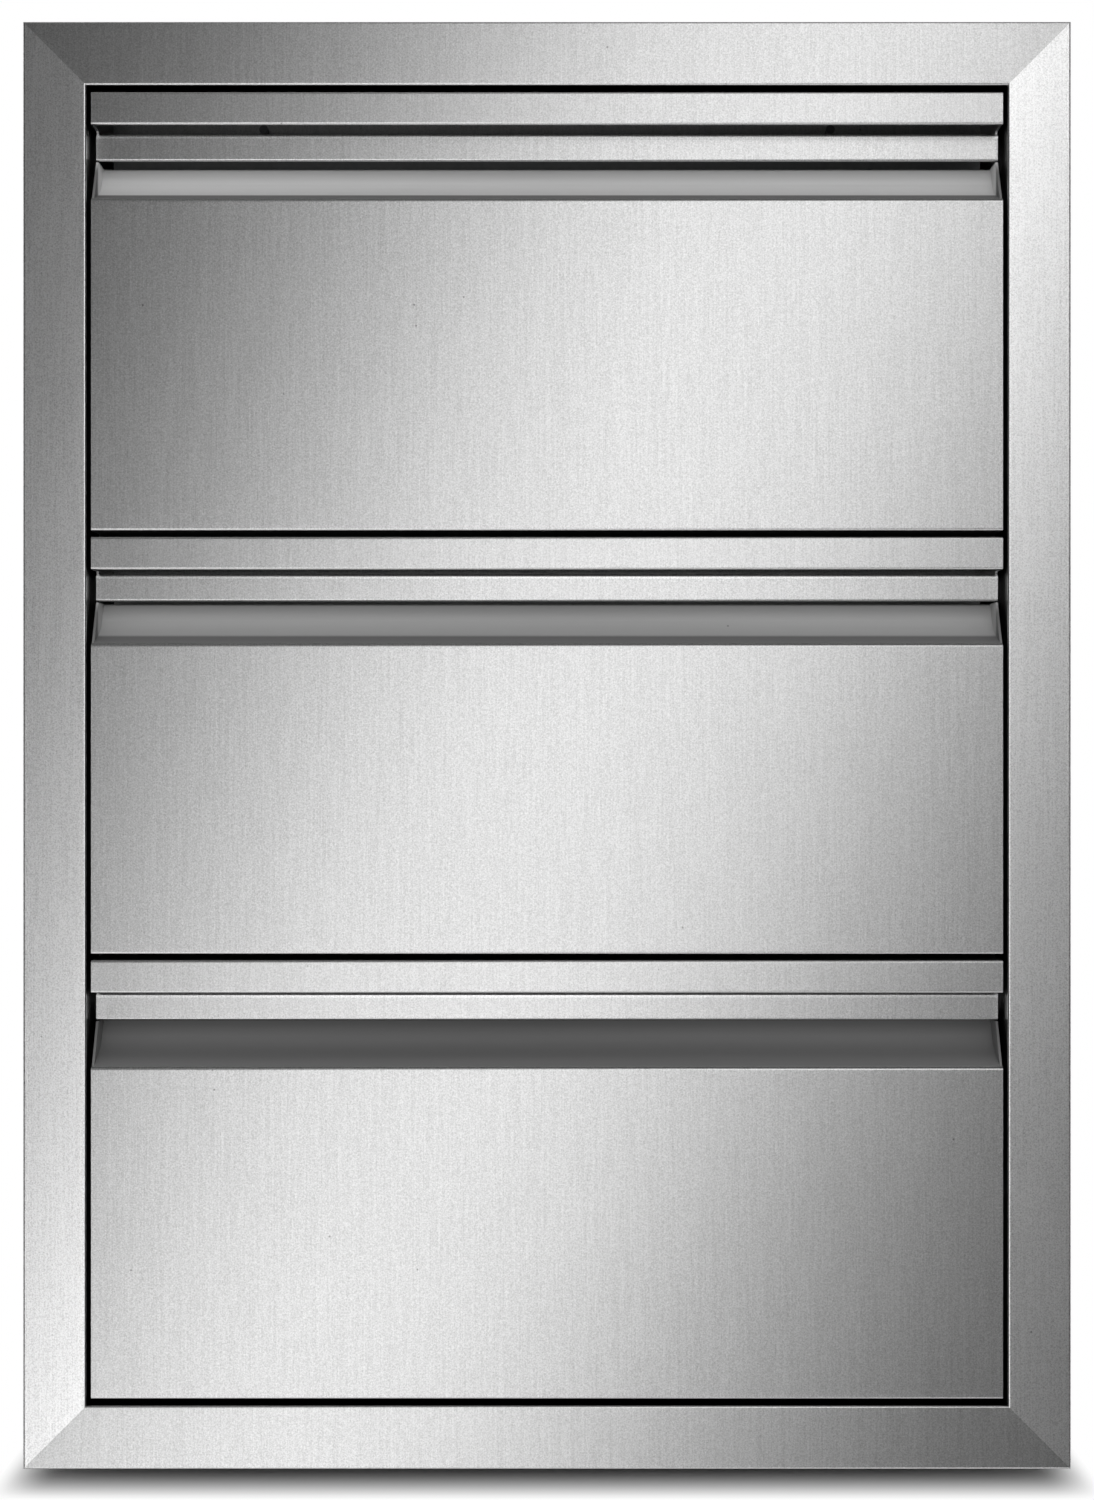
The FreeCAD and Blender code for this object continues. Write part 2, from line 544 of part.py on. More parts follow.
def ball_cages(doc, sheet, drawer, level, race):
    """The left and right ball cages of one race, with their balls."""
    body = new_body(doc, f"{drawer}_{race}_ball_cages", depth=SLIDE_FRONT, level=level, group=True)
    ball_height = OUTER_BALL_HEIGHT if race == "outer" else INNER_BALL_HEIGHT
    radius = f"sizes.{race}_ball_radius"
    centre = f"sizes.{race}_ball_centre"
    strip = "sizes.cage_sheet"
    web, leg_end = f"sizes.{race}_cage_web", f"sizes.{race}_cage_end"
    half_height = f"({ball_height} + {strip} / 2)"
    start = f"(({MOVING_LENGTH} - sizes.cage_length) / 2)"
    end = f"({start} + sizes.cage_length)"
    count = int(sheet.get("balls_per_row"))
    first, last = f"({start} + sizes.ball_end_inset)", f"({end} - sizes.ball_end_inset)"
    circles = []
    for side, name in SIDE_NAMES:
        section = channel_outline(side, web, f"({web} + {strip})", leg_end, half_height, strip)
        slab(body, f"cage_{name}", "XZ", section, start, end)
        hole = f"({radius} + sizes.cage_hole_play)"
        circles += [(slide_point(side, centre, "0")[0], y, hole) for y in steps(first, last, count)]
    drill(body, "ball_holes", "XY", circles, f"(-{half_height})", half_height)
    ball = body.newObject("PartDesign::AdditiveSphere", f"{body.Label}_ball")
    ball.setExpression("Radius", radius)
    ball.setExpression("Placement.Base.x", slide_point(RIGHT, centre, "0")[0])
    ball.setExpression("Placement.Base.y", first)
    ball.setExpression("Placement.Base.z", ball_height)
    body.Tip = ball
    repeat(body, ball, (("Y", f"({last} - {first})", count),), ("XY", "YZ"))


def slide_buffers(doc):
    """The rubber buffers at the rear ends of the outer members."""
    body = new_body(doc, "slide_buffers", group=True)
    end = f"({SLIDE_FRONT} + sizes.slide_length)"
    start = f"({end} - sizes.buffer_length)"
    corners = []
    for drawer, height, top in DRAWERS:
        level = slide_level(height, top)
        low = f"({level} - sizes.buffer_half_height)"
        high = f"({level} + sizes.buffer_half_height)"
        for side, name in SIDE_NAMES:
            near = slide_point(side, "sizes.slide_wall", "0")[0]
            far = slide_point(side, "sizes.buffer_end", "0")[0]
            slab(body, f"{drawer}_{name}", "XZ", rectangle(near, far, low, high), start, end)
            corners += [(far, low), (far, high)]
    round_folds(body, "corners", "Y", corners, "sizes.buffer_corner_radius")


def front_body(doc, drawer, name, top, group=False):
    """A body of a drawer, measured from its front's face and top edge."""
    return new_body(doc, f"{drawer}_{name}", depth=FRONT_FACE, level=top, group=group)


def front_panel(doc, drawer, height, top):
    """The flat panel, the scoop and shelf behind its top bend, and the sheets that close their ends."""
    body = front_body(doc, drawer, "front_panel", top)
    sheet, deep = "sizes.front_sheet", "sizes.recess_depth"
    corner, shelf = "(-sizes.panel_drop)", "(-sizes.scoop_rim_drop)"
    floor_depth, floor_level = "sizes.scoop_floor_depth", "(-sizes.scoop_floor_drop)"
    floor_slope = f"atan(({floor_level} - {corner}) / {floor_depth})"
    wall_slope = f"atan(({shelf} - {floor_level}) / (sizes.scoop_rim_depth - {floor_depth}))"
    half_turn = f"(({wall_slope} - {floor_slope}) / 2)"
    middle_slope = f"(({wall_slope} + {floor_slope}) / 2)"
    low = f"(-{height})"
    back = f"({deep} - {sheet})"
    flange_top = f"({low} + sizes.panel_flange_height)"
    flange_bottom = f"({shelf} - sizes.shelf_flange_height)"
    outside = [
        ("0", corner),
        ("0", low),
        (deep, low),
        (deep, shelf),
        ("sizes.scoop_rim_depth", shelf),
        (floor_depth, floor_level),
    ]
    slab(body, "block", "YZ", outside, f"(-{FRONT_HALF})", FRONT_HALF)
    round_folds(body, "panel_bend", "X", outside[:1], "sizes.panel_bend_radius")
    round_folds(body, "bottom_fold", "X", outside[1:2], "sizes.front_fold_radius")
    round_folds(body, "rim", "X", outside[4:5], "sizes.scoop_rim_radius")
    round_folds(body, "scoop", "X", outside[5:], "sizes.scoop_radius")
    panel_corner = (sheet, f"({corner} + {sheet} * tan({floor_slope}) - {sheet} / cos({floor_slope}))")
    rim_corner = (f"(sizes.scoop_rim_depth + {sheet} * tan({wall_slope} / 2))", f"({shelf} - {sheet})")
    scoop_corner = (
        f"({floor_depth} + {sheet} * sin({middle_slope}) / cos({half_turn}))",
        f"({floor_level} - {sheet} * cos({middle_slope}) / cos({half_turn}))",
    )
    inside = [
        panel_corner,
        (sheet, f"({low} + {sheet})"),
        (back, f"({low} + {sheet})"),
        (back, flange_top),
        (deep, flange_top),
        (deep, flange_bottom),
        (back, flange_bottom),
        (back, f"({shelf} - {sheet})"),
        rim_corner,
        scoop_corner,
    ]
    hollow(body, "inside", inside, f"({sheet} - {FRONT_HALF})", f"({FRONT_HALF} - {sheet})")
    round_folds(body, "inner_bend", "X", [panel_corner], f"(sizes.panel_bend_radius - {sheet})")
    round_folds(body, "inner_rim", "X", [rim_corner], f"(sizes.scoop_rim_radius - {sheet})")
    round_folds(body, "inner_scoop", "X", [scoop_corner], f"(sizes.scoop_radius + {sheet})")
    behind_rim = "(sizes.scoop_rim_depth + sizes.scoop_rim_radius)"
    scoop_end = [
        ("sizes.panel_bend_radius", corner),
        ("sizes.lip_depth", shelf),
        (behind_rim, shelf),
        (behind_rim, corner),
    ]
    slab(body, "scoop_end_right", "YZ", scoop_end, f"({FRONT_HALF} - {sheet})", FRONT_HALF)
    slab(body, "scoop_end_left", "YZ", scoop_end, f"(-{FRONT_HALF})", f"({sheet} - {FRONT_HALF})")
    screws = [(x, f"({low} + sizes.screw_height)", SCREW_HOLE) for x in screw_columns()]
    drill(body, "screw_holes", "XZ", screws, back, deep)


def grip_rail(doc, drawer, top):
    """The folded rail over the recess: band, cover, rear web, ledge and the lip that the fingers pull."""
    body = front_body(doc, drawer, "grip_rail", top)
    sheet, deep = "sizes.front_sheet", "sizes.recess_depth"
    band, lip, depth = "(-sizes.band_height)", "(-sizes.lip_drop)", "sizes.lip_depth"
    band_hem = f"({band} + sizes.band_hem_height)"
    lip_hem = f"({lip} + sizes.lip_hem_height)"
    ledge = f"({band} - sizes.slot_height)"
    ledge_under = f"({ledge} - {sheet})"
    back = f"({deep} - {sheet})"
    cover = [
        ("0", "0"),
        ("0", band),
        (f"(2 * {sheet})", band),
        (f"(2 * {sheet})", band_hem),
        (sheet, band_hem),
        (sheet, f"(-{sheet})"),
        (back, f"(-{sheet})"),
        (back, ledge_under),
        (deep, ledge_under),
        (deep, "0"),
    ]
    slab(body, "cover", "YZ", cover, f"(-{FRONT_HALF})", FRONT_HALF)
    cheek = [
        ("0", "0"),
        ("0", band),
        (depth, band),
        (f"({depth} + 3 * {sheet})", ledge_under),
        (deep, ledge_under),
        (deep, "0"),
    ]
    slab(body, "cheek_right", "YZ", cheek, f"({FRONT_HALF} - {sheet})", FRONT_HALF)
    slab(body, "cheek_left", "YZ", cheek, f"(-{FRONT_HALF})", f"({sheet} - {FRONT_HALF})")
    hook = [
        (depth, ledge),
        (depth, lip),
        (f"({depth} + 2 * {sheet})", lip),
        (f"({depth} + 2 * {sheet})", lip_hem),
        (f"({depth} + {sheet})", lip_hem),
        (f"({depth} + {sheet})", ledge_under),
        (back, ledge_under),
        (back, ledge),
    ]
    slab(body, "hook", "YZ", hook, f"(-{FRONT_HALF})", FRONT_HALF)
    screws = [(x, "(-sizes.screw_height)", SCREW_HOLE) for x in screw_columns()]
    drill(body, "screw_holes", "XZ", screws, back, deep)
    round_folds(body, "folds", "X", [("0", "0"), (depth, ledge)], "sizes.front_fold_radius")
    hems = [("0", band), (f"(2 * {sheet})", band), (depth, lip), (f"({depth} + 2 * {sheet})", lip)]
    round_folds(body, "hems", "X", hems, f"(0.9 * {sheet})")


def screw_columns():
    """Where the screws that hold a front stand across its width."""
    column = f"({FRONT_HALF} - sizes.screw_side_inset)"
    return (f"(-{column})", column)


def inner_front(doc, drawer, height, top):
    """The wall behind the recess, which also closes the drawer box."""
    body = front_body(doc, drawer, "inner_front", top)
    half = f"({FRONT_HALF} - sizes.inner_front_margin)"
    low, high = f"(sizes.inner_front_margin - {height})", "(-sizes.inner_front_margin)"
    slab(body, "plate", "XZ", rectangle(f"(-{half})", half, low, high), "sizes.recess_depth", BOX_START)
    levels = ("(-sizes.screw_height)", f"(sizes.screw_height - {height})")
    screws = [(x, level, SCREW_HOLE) for x in screw_columns() for level in levels]
    drill(body, "screw_holes", "XZ", screws, "sizes.recess_depth", BOX_START)


def box_side(doc, sheet, drawer, height, top, side, name):
    """A side of the drawer box, with the hem on its rim."""
    body = front_body(doc, drawer, f"box_side_{name}", top)
    low, high = f"(sizes.box_lift - {height})", "(-sizes.box_top_drop)"
    faces = [f"({side} * {BOX_HALF})", f"({side} * {BOX_INNER_HALF})"]
    hem_face = f"({side} * ({BOX_INNER_HALF} - sizes.box_sheet))"
    plate = rectangle(faces[0], faces[1], low, high)
    slab(body, "plate", "XZ", plate, BOX_START, BOX_END)
    hem = rectangle(faces[1], hem_face, f"({high} - sizes.box_hem_height)", high)
    slab(body, "hem", "XZ", hem, BOX_START, f"({BOX_END} - sizes.box_sheet)")
    level = f"({low} + sizes.slide_above_box)"
    holes = [(y, level, RIVET_HOLE) for y in slide_rivet_places(sheet, SLIDE_START)]
    start, end = (BOX_INNER_HALF, BOX_HALF) if side == RIGHT else (f"(-{BOX_HALF})", f"(-{BOX_INNER_HALF})")
    drill(body, "rivet_holes", "YZ", holes, start, end)


def box_floor(doc, drawer, height, top):
    """The drawer box's bottom, between its sides."""
    body = front_body(doc, drawer, "box_floor", top)
    low = f"(sizes.box_lift - {height})"
    outline = rectangle(f"(-{BOX_INNER_HALF})", BOX_INNER_HALF, BOX_START, BOX_END)
    slab(body, "plate", "XY", outline, low, f"({low} + sizes.box_sheet)")


def box_back(doc, drawer, height, top):
    """The drawer box's back, standing on its bottom."""
    body = front_body(doc, drawer, "box_back", top)
    low = f"(sizes.box_lift + sizes.box_sheet - {height})"
    outline = rectangle(f"(-{BOX_INNER_HALF})", BOX_INNER_HALF, low, "(-sizes.box_top_drop)")
    slab(body, "plate", "XZ", outline, f"({BOX_END} - sizes.box_sheet)", BOX_END)


def drawer_fasteners(doc, sheet, drawer, height, top):
    """The rivets that hold the inner members and the screws that hold the front."""
    body = front_body(doc, drawer, "drawer_fasteners", top, group=True)
    count = int(sheet.get("slide_rivet_count"))
    places = slide_rivet_places(sheet, SLIDE_START)
    level = f"(sizes.box_lift + sizes.slide_above_box - {height})"
    stations = rivet_stations(BOX_INNER_HALF, f"({BOX_HALF} + sizes.slide_wall)")
    rivet = turned(body, "rivet", "XY", places[0], level, stations)
    repeat(body, rivet, (("Y", f"({places[-1]} - {places[0]})", count),), ("YZ",))
    tip = "(sizes.recess_depth - sizes.front_sheet - sizes.screw_reach)"
    screw = (
        (tip, BOX_START, "sizes.screw_radius"),
        (BOX_START, f"({BOX_START} + sizes.screw_head_height)", "sizes.screw_head_radius"),
    )
    rises = {"upper_screw": "(-sizes.screw_height)", "lower_screw": f"(sizes.screw_height - {height})"}
    for name, rise in rises.items():
        repeat(body, turned(body, name, "YZ", rise, screw_columns()[1], screw), (), ("YZ",))


def build_drawer(doc, sheet, drawer, height, top):
    """One drawer with its slides, from its front to the buffers' side."""
    level = slide_level(height, top)
    front_panel(doc, drawer, height, top)
    grip_rail(doc, drawer, top)
    inner_front(doc, drawer, height, top)
    box_floor(doc, drawer, height, top)
    box_back(doc, drawer, height, top)
    drawer_fasteners(doc, sheet, drawer, height, top)
    for side, name in SIDE_NAMES:
        box_side(doc, sheet, drawer, height, top, side, name)
        slide_outer(doc, sheet, drawer, side, name, level)
        slide_middle(doc, drawer, side, name, level)
        slide_inner(doc, sheet, drawer, side, name, level)
    for race in ("outer", "inner"):
        ball_cages(doc, sheet, drawer, level, race)


def build(doc):
    """The whole unit: face frame, housing and three drawers."""
    sheet = make_sizes(doc)
    for strip in ("rail_top", "rail_bottom", "stile_left", "stile_right"):
        frame_strip(doc, strip)
    for side, name in SIDE_NAMES:
        housing_side(doc, sheet, side, name)
    for name in ("floor", "roof"):
        housing_deck(doc, sheet, name)
    housing_back(doc, sheet)
    housing_rivets(doc, sheet)
    slide_rivets(doc, sheet)
    slide_buffers(doc)
    for drawer, height, top in DRAWERS:
        build_drawer(doc, sheet, drawer, height, top)
    doc.recompute()


def check_objects(doc):
    """Stops on any object that failed, and on any pocket that cut nothing."""
    for item in doc.Objects:
        if "Invalid" in item.State or "Error" in item.State:
            raise RuntimeError(f"{item.Label} is in state {item.State}")
        if item.TypeId == "PartDesign::Pocket" and item.Shape.Volume >= item.BaseFeature.Shape.Volume - MATCH:
            raise RuntimeError(f"{item.Label} cuts nothing")
    bodies = [item for item in doc.Objects if item.TypeId == "PartDesign::Body"]
    for body in bodies:
        if body.Shape.isNull() or not body.Shape.isValid() or not body.Shape.Solids:
            raise RuntimeError(f"{body.Label} has no valid solid")
        if len(body.Shape.Solids) > 1 and not body.AllowCompound:
            raise RuntimeError(f"{body.Label} fell into {len(body.Shape.Solids)} solids")
    return bodies


def export(bodies):
    """Writes one file per body, named by its label."""
    os.makedirs("parts", exist_ok=True)
    for body in bodies:
        body.Shape.exportStep(os.path.join("parts", f"{body.Label}.step"))


def main():
    doc = FreeCAD.newDocument("drawer_unit")
    build(doc)
    bodies = check_objects(doc)
    export(bodies)
    for body in bodies:
        print(f"{body.Label}: {len(body.Shape.Solids)} solids, {body.Shape.Volume:.1f} mm3")
    print(f"{len(bodies)} nodes")


main()
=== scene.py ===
"""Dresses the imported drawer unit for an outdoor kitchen: finishes, floor, light and camera."""

import json
import math
import bmesh
import bpy
from bpy.props import FloatProperty, FloatVectorProperty, PointerProperty
from mathutils import Matrix, Vector

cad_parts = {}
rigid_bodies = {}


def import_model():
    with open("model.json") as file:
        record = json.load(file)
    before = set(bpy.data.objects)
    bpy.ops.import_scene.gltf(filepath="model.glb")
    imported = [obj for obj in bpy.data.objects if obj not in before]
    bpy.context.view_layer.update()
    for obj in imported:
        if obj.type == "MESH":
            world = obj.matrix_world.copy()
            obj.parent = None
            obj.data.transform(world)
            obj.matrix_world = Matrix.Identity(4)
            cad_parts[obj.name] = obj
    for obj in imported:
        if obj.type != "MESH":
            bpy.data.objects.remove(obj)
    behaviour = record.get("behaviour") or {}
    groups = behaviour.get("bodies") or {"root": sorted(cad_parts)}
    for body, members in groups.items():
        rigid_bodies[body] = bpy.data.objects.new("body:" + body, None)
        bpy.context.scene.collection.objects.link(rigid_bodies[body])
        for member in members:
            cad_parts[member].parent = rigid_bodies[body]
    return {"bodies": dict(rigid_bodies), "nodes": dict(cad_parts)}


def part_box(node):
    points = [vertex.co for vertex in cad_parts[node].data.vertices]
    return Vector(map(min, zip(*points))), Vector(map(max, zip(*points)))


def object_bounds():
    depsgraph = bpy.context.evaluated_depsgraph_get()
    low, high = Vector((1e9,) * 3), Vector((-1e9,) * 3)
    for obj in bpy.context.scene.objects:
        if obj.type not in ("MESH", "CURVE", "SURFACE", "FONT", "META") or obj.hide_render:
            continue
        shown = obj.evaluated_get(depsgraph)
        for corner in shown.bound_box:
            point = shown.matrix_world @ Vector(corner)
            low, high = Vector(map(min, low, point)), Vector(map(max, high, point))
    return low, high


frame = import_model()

bl_info = {
    "name": "Outdoor Kitchen Drawer Unit",
    "version": (1, 0, 0),
    "blender": (4, 5, 0),
    "location": "View3D > Sidebar > Drawer Unit",
    "description": "Finishes and stage for a built-in stack of three stainless drawers",
    "category": "Object",
}

NODES = frame["nodes"]
# The start-up scene's own objects go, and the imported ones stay.
for leftover in set(bpy.data.objects) - set(NODES.values()) - set(frame["bodies"].values()):
    bpy.data.objects.remove(leftover)
CAD_BOX = [list(corner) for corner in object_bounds()]

DRAWERS = ("bottom", "middle", "top")
SIDES = ("left", "right")
FRAME_RAILS = ("frame_rail_top", "frame_rail_bottom")
FRAME_STILES = ("frame_stile_left", "frame_stile_right")
HOUSING = ("housing_side_left", "housing_side_right", "housing_floor", "housing_roof", "housing_back")
BOX_SHEETS = ("box_side_left", "box_side_right", "box_floor", "box_back")
FRAME_FACE_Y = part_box("frame_stile_left")[0].y
FRONT_FACE_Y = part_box("top_front_panel")[0].y
RECESS_WALL_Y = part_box("top_inner_front")[0].y

# Sizes of the unit that the finishes follow, in metres.
FLANGE_WIDTH = 0.0276  # face of the frame on each side of its opening
RETURN_DEPTH = 0.0018  # from the frame's face to its returns
LIP_DROP = 0.0155  # from the top of a front to the top of its lip
SCOOP_HEIGHT = 0.0194  # from a panel's top bend to the rim of its scoop
RIM_MARGIN = 0.001  # how far the zones at a scoop's rim reach above it
SLOPE_DEPTH = 0.0115  # from a panel's top bend to the end of the slope
SLOPE_FADE = 0.004  # length over which the slope's brightness turns into the scoop's
WALL_FADE = (0.0002, 0.0006)  # depths in the recess wall's sheet where the painted shade on its front ends

# Depths behind the face of the fronts, in metres.
BEND_DEPTH = 0.0014  # where a panel's top bend turns into the slope
SLOT_DEPTH = 0.009  # where the slot over a lip is fully darkened by painted shade
LIP_DEPTH = 0.012  # face of a lip
RECESS_DEPTH = 0.0145  # where the recess behind a lip begins
SHELF_DEPTH = 0.0262  # where the shelf behind a scoop begins

# Patterns, as repeats in a metre along X, Y and Z.
GRIT_SCALE = (1500.0, 1500.0, 1500.0)
BRUSH_SCALE = (1500.0, 1500.0, 30.0)
FACE_CLOUD_SCALE = (14.0, 14.0, 9.0)
SCOOP_STREAK_SCALE = (6.0, 160.0, 160.0)
ROLLING_SCALE = (500.0, 12.0, 500.0)
SHEET_CLOUD_SCALE = (9.0, 5.0, 9.0)
DRAWING_SCALE = (900.0, 25.0, 900.0)
SLIDE_CLOUD_SCALE = (30.0, 12.0, 30.0)
BALL_WEAR_SCALE = (700.0, 700.0, 700.0)
FASTENER_MARK_SCALE = (900.0, 900.0, 900.0)
FLOOR_PATCH_SCALE = (3.0, 3.0, 3.0)

# Specks are small dark dots on the face steel, and show only in patches.
SPECK_SCALE = 75.0
SPECK_EDGE = (0.045, 0.025)  # from outside in, as shares of their spacing
SPECK_PATCH_SCALE = (31.0, 31.0, 31.0)
SPECK_PATCH_EDGE = (0.62, 0.64)  # levels of the noise where a patch begins and is full

# Heights of the patterns' relief, in metres.
ROLLING_RELIEF = 0.000004
DRAWING_RELIEF = 0.000006
MARK_RELIEF = 0.00002
RUBBER_RELIEF = 0.00005

# Noise is weak on its whole-number planes, and the frame's face would lie in one of them.
OFF_LATTICE = (0.0, 0.25, 0.0)

# The studio, in metres. The floor lies a little below the frame's bottom edge.
FLOOR_GAP = 0.0135
FLOOR_SIZE = 14.0
FLOOR_Z = CAD_BOX[0][2] - FLOOR_GAP
SOFTBOX_SIDEWAYS = 0.01
SOFTBOX_DISTANCE = 2.0
OVERHEAD_SIZE = 3.0
OVERHEAD_PLACE = (0.0, -0.2, 2.5)
OVERHEAD_AIM = (0.0, -0.2, 0.0)
WHITE = (1.0, 1.0, 1.0, 1.0)
STUDIO_CARDS = (
    # name, brightness, width, height, place, axis it turns about, degrees
    ("wall", 0.01, 7.0, 5.0, (0.0, -2.6, 0.6), "X", 90),
    ("ceiling", 0.22, 7.0, 3.4, (0.0, -1.2, 2.6), "X", 0),
    ("left", 0.03, 5.0, 2.4, (-2.2, -1.3, 0.3), "Y", 90),
    ("right", 0.03, 5.0, 2.4, (2.2, -1.3, 0.3), "Y", 90),
    ("back", 0.35, 7.0, 6.0, (0.0, 2.2, 0.6), "X", 90),
    ("under", 0.02, 0.5, 0.54, (0.0, 0.26, FLOOR_Z - 0.001), "X", 0),
    ("shade", 0.0, 0.490, 0.524, (0.0, 0.252, CAD_BOX[0][2] - 0.0004), "X", 0),
)


class Signal:
    """A socket of a node tree. Sums and products of signals and numbers add Math nodes."""

    def __init__(self, tree, socket=None):
        self.tree = tree
        self.socket = socket

    def make(self, kind, settings=(), inputs=(), output=0):
        """Adds a node, sets it up, fills its sockets and gives one of its outputs."""
        node = self.tree.nodes.new(kind)
        for name, value in dict(settings).items():
            setattr(node, name, value)
        for name, value in dict(inputs).items():
            if isinstance(value, Signal):
                self.tree.links.new(value.socket, node.inputs[name])
            else:
                node.inputs[name].default_value = value
        return Signal(self.tree, node.outputs[output] if node.outputs else None)

    def maths(self, operation, *values):
        """Adds a Math node."""
        return self.make("ShaderNodeMath", {"operation": operation}, enumerate(values))

    def __add__(self, other):
        return self.maths("ADD", self, other)

    def __radd__(self, other):
        return self.maths("ADD", other, self)

    def __sub__(self, other):
        return self.maths("SUBTRACT", self, other)

    def __rsub__(self, other):
        return self.maths("SUBTRACT", other, self)

    def __mul__(self, other):
        return self.maths("MULTIPLY", self, other)

    def __rmul__(self, other):
        return self.maths("MULTIPLY", other, self)

    def clamped(self):
        """Keeps the signal between 0 and 1."""
        return self.make("ShaderNodeClamp", (), {"Value": self})

    def between(self, low, high):
        """Rises smoothly from 0 at low to 1 at high."""
        return self.make(
            "ShaderNodeMapRange",
            {"interpolation_type": "SMOOTHSTEP"},
            {"Value": self, "From Min": low, "From Max": high},
        )


def new_tree(owner):
    """Empties a material's or the world's nodes and gives a signal to start from."""
    owner.use_nodes = True
    owner.node_tree.nodes.clear()
    return Signal(owner.node_tree)


def place(start, scale=(1.0, 1.0, 1.0), shift=(0.0, 0.0, 0.0)):
    """Object coordinates in metres, scaled and moved."""
    return start.make(
        "ShaderNodeMapping",
        {"vector_type": "POINT"},
        {
            "Vector": start.make("ShaderNodeTexCoord", output="Object"),
            "Location": shift,
            "Scale": scale,
        },
    )


def noise(start, vector, detail=2.0, roughness=0.5):
    """Noise around 0.5."""
    return start.make(
        "ShaderNodeTexNoise",
        {"noise_dimensions": "3D"},
        {"Vector": vector, "Scale": 1.0, "Detail": detail, "Roughness": roughness},
        "Fac",
    )


def varied(mean, *patterns):
    """A mean with noises around 0.5 added to it, each given with its strength."""
    level = mean
    for pattern, strength in patterns:
        level = level + (pattern - 0.5) * strength
    return level


def mixed(factor, first, second):
    """Goes from the first value at factor 0 to the second at factor 1."""
    return (second - first) * factor + first


def axes(start):
    """Distance from the middle plane, depth and height in the unit's own place."""
    spots = [start.make("ShaderNodeSeparateXYZ", (), {0: place(start)}, axis) for axis in "XYZ"]
    return start.maths("ABSOLUTE", spots[0]), spots[1], spots[2]


def inside(spots, low, high, soft):
    """Is 1 inside a box that is the same left and right, and fades to 0 over a soft distance."""
    factor = spots[0].between(high[0] + soft, high[0])
    for spot, below, above in zip(spots[1:], low[1:], high[1:]):
        factor = factor * spot.between(below - soft, below) * spot.between(above + soft, above)
    return factor


def behind_recess_wall(start):
    """Is 0 up to the front of the wall that closes the finger recesses, and 1 behind it."""
    return axes(start)[1].between(*[RECESS_WALL_Y + depth for depth in WALL_FADE])


def grey(start, level, tint=(1.0, 1.0, 1.0)):
    """A colour whose strength follows a signal."""
    return start.make(
        "ShaderNodeVectorMath",
        {"operation": "SCALE"},
        {0: tuple(tint), "Scale": level},
    )


def close_finish(start, colour, roughness, height=None, depth=0.0, metallic=1.0, spread=0.0):
    """Ends a finish's tree with its shader. Spread widens its reflections across the grain."""
    inputs = {"Base Color": colour, "Roughness": roughness, "Metallic": metallic, "Anisotropic": spread}
    if height is not None:
        bump = {"Height": height, "Strength": 1.0, "Distance": depth}
        inputs["Normal"] = start.make("ShaderNodeBump", (), bump)
    shader = start.make("ShaderNodeBsdfPrincipled", (), inputs)
    start.make("ShaderNodeOutputMaterial", (), {"Surface": shader})


def new_material(name):
    """A material and the start of its tree."""
    material = bpy.data.materials.new(name)
    return material, new_tree(material)


def put_on(material, names):
    """Gives CAD nodes a finish."""
    for name in names:
        for material_slot in NODES[name].material_slots:
            material_slot.material = material


